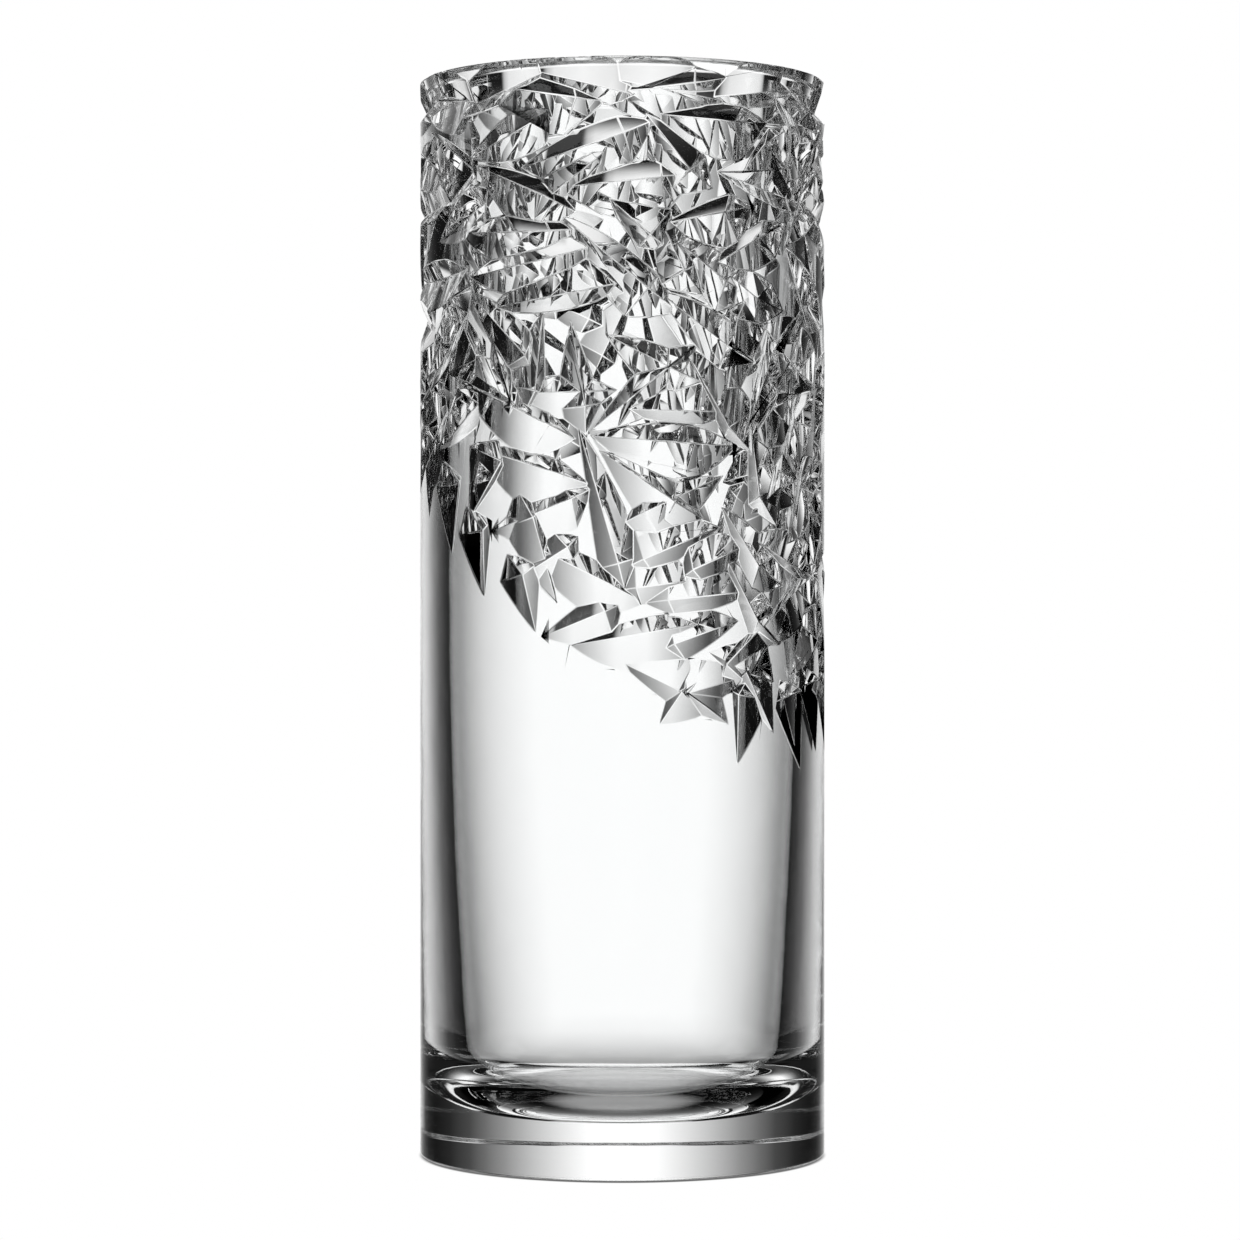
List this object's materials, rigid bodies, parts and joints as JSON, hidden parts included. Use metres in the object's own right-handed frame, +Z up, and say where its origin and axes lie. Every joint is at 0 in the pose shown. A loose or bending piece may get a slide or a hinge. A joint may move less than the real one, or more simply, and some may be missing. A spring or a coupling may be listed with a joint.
{
  "type": "vase",
  "caption": "Tall straight cylindrical cut crystal vase with a heavy solid base and crossing V-cut facets over its upper part.",
  "frame": {"origin": "centre of the base's underside", "axes": "+Z up along the vase's axis, -Y towards the front, where the cut border falls from left to right"},
  "size_m": [0.14, 0.14, 0.37],
  "materials": {
    "crystal": "polished clear crystal"
  },
  "bodies": {
    "root": {"crystal_vase": "crystal"}
  },
  "joints": []
}
